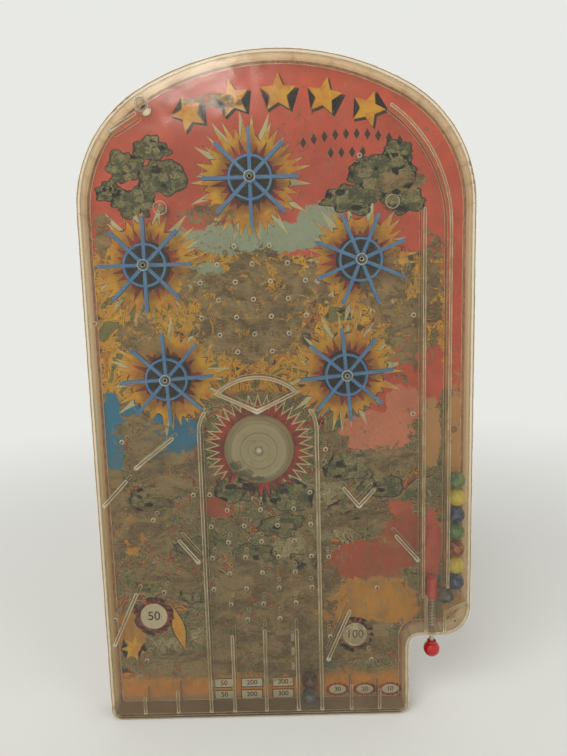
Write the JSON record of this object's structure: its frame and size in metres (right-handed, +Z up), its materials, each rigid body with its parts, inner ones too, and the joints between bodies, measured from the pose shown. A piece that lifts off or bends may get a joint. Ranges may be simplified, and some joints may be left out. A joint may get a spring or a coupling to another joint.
{
  "type": "bagatelle board game",
  "caption": "Upright arched bagatelle game: clear cover with moulded pins and lanes over a printed board, spinners, bell, spring plunger and marbles.",
  "frame": {"origin": "middle of the box around the game, on the surface it stands on", "axes": "+Z up along the game's height, +X to the right seen from the front, the clear front faces -Y"},
  "size_m": [0.33, 0.03, 0.5819],
  "materials": {
    "clear_plastic": "clear, slightly yellowed, glossy",
    "printed_card": "worn colour print on card",
    "fibreboard": "bare brown fibreboard",
    "tan_plastic": "moulded tan plastic",
    "bell_metal": "pressed, dull plated steel",
    "rivet_metal": "domed, satin",
    "steel": "plain steel",
    "spring_steel": "spring wire",
    "red_plastic": "glossy red",
    "blue_plastic": "moulded blue",
    "glass_clear": "clear glass",
    "glass_blue": "dark blue glass",
    "glass_yellow": "yellow glass",
    "glass_red": "red glass",
    "glass_green": "green glass",
    "glass_grey": "grey-blue glass",
    "glass_maroon": "maroon glass"
  },
  "bodies": {
    "root": {"clear_cover": "clear_plastic", "cover_side_wall": "clear_plastic", "cover_pins": "clear_plastic", "cover_posts": "clear_plastic", "cover_bosses": "clear_plastic", "cover_bars": "clear_plastic", "cover_dividers": "clear_plastic", "cover_middle_walls": "clear_plastic", "cover_eye": "clear_plastic", "cover_shooter_wall": "clear_plastic", "cover_feed_wall": "clear_plastic", "cover_ramp": "clear_plastic", "printed_sheet": "printed_card", "playfield_board": "fibreboard", "base_pan": "tan_plastic", "bell_gong": "bell_metal", "bell_spacer": "steel", "bell_rivet": "rivet_metal", "cover_screws": "steel", "plunger_spring": "spring_steel"},
    "plunger": {"plunger_head": "red_plastic", "plunger_rod": "steel", "plunger_knob": "red_plastic", "plunger_collar": "steel"},
    "spinner_top": {"spinner_top": "blue_plastic"},
    "spinner_upper_left": {"spinner_upper_left": "blue_plastic"},
    "spinner_upper_right": {"spinner_upper_right": "blue_plastic"},
    "spinner_lower_left": {"spinner_lower_left": "blue_plastic"},
    "spinner_lower_right": {"spinner_lower_right": "blue_plastic"},
    "marble_outlet": {"marble_outlet": "glass_clear"},
    "marble_store_1": {"marble_store_1": "glass_blue"},
    "marble_store_2": {"marble_store_2": "glass_yellow"},
    "marble_store_3": {"marble_store_3": "glass_red"},
    "marble_store_4": {"marble_store_4": "glass_green"},
    "marble_store_5": {"marble_store_5": "glass_blue"},
    "marble_store_6": {"marble_store_6": "glass_yellow"},
    "marble_store_7": {"marble_store_7": "glass_green"},
    "marble_lane_1": {"marble_lane_1": "glass_grey"},
    "marble_lane_2": {"marble_lane_2": "glass_maroon"}
  },
  "joints": [
    {"name": "plunger_pull", "type": "slide", "parent": "root", "child": "plunger", "axis": [0, 0, -1], "range_m": [0, 0.0295], "stiffness_N_per_m": 400, "springref_m": -0.006, "deforming": ["plunger_spring"]},
    {"name": "spinner_top_turn", "type": "hinge", "parent": "root", "child": "spinner_top", "pos_m": [-0.0213, 0, 0.484], "axis": [0, -1, 0], "continuous": true},
    {"name": "spinner_upper_left_turn", "type": "hinge", "parent": "root", "child": "spinner_upper_left", "pos_m": [-0.1128, 0, 0.4145], "axis": [0, -1, 0], "continuous": true},
    {"name": "spinner_upper_right_turn", "type": "hinge", "parent": "root", "child": "spinner_upper_right", "pos_m": [0.0702, 0, 0.4145], "axis": [0, -1, 0], "continuous": true},
    {"name": "spinner_lower_left_turn", "type": "hinge", "parent": "root", "child": "spinner_lower_left", "pos_m": [-0.0995, 0, 0.3164], "axis": [0, -1, 0], "continuous": true},
    {"name": "spinner_lower_right_turn", "type": "hinge", "parent": "root", "child": "spinner_lower_right", "pos_m": [0.0569, 0, 0.3164], "axis": [0, -1, 0], "continuous": true},
    {"name": "store_7_lift", "type": "slide", "parent": "root", "child": "marble_store_7", "axis": [0, 0, 1], "range_m": [0, 0.2]},
    {"name": "store_6_lift", "type": "slide", "parent": "root", "child": "marble_store_6", "axis": [0, 0, 1], "range_m": [0, 0.2]},
    {"name": "store_5_lift", "type": "slide", "parent": "root", "child": "marble_store_5", "axis": [0, 0, 1], "range_m": [0, 0.2]},
    {"name": "store_4_lift", "type": "slide", "parent": "root", "child": "marble_store_4", "axis": [0, 0, 1], "range_m": [0, 0.2]},
    {"name": "store_3_lift", "type": "slide", "parent": "root", "child": "marble_store_3", "axis": [0, 0, 1], "range_m": [0, 0.2]},
    {"name": "store_2_lift", "type": "slide", "parent": "root", "child": "marble_store_2", "axis": [0, 0, 1], "range_m": [0, 0.2]},
    {"name": "store_1_lift", "type": "slide", "parent": "root", "child": "marble_store_1", "axis": [0, 0, 1], "range_m": [0, 0.2]},
    {"name": "outlet_lift", "type": "slide", "parent": "root", "child": "marble_outlet", "axis": [0.9119, 0, 0.4104], "range_m": [0, 0.008]},
    {"name": "lane_2_lift", "type": "slide", "parent": "root", "child": "marble_lane_2", "axis": [0, 0, 1], "range_m": [0, 0.06]},
    {"name": "lane_1_lift", "type": "slide", "parent": "root", "child": "marble_lane_1", "axis": [0, 0, 1], "range_m": [0, 0.06]}
  ],
  "couplings": [
    {"joint": "store_6_lift", "follows": "store_7_lift", "ratio": 1},
    {"joint": "store_5_lift", "follows": "store_7_lift", "ratio": 1},
    {"joint": "store_4_lift", "follows": "store_7_lift", "ratio": 1},
    {"joint": "store_3_lift", "follows": "store_7_lift", "ratio": 1},
    {"joint": "store_2_lift", "follows": "store_7_lift", "ratio": 1},
    {"joint": "store_1_lift", "follows": "store_7_lift", "ratio": 1},
    {"joint": "outlet_lift", "follows": "store_7_lift", "ratio": 0.04},
    {"joint": "lane_1_lift", "follows": "lane_2_lift", "ratio": 1}
  ]
}
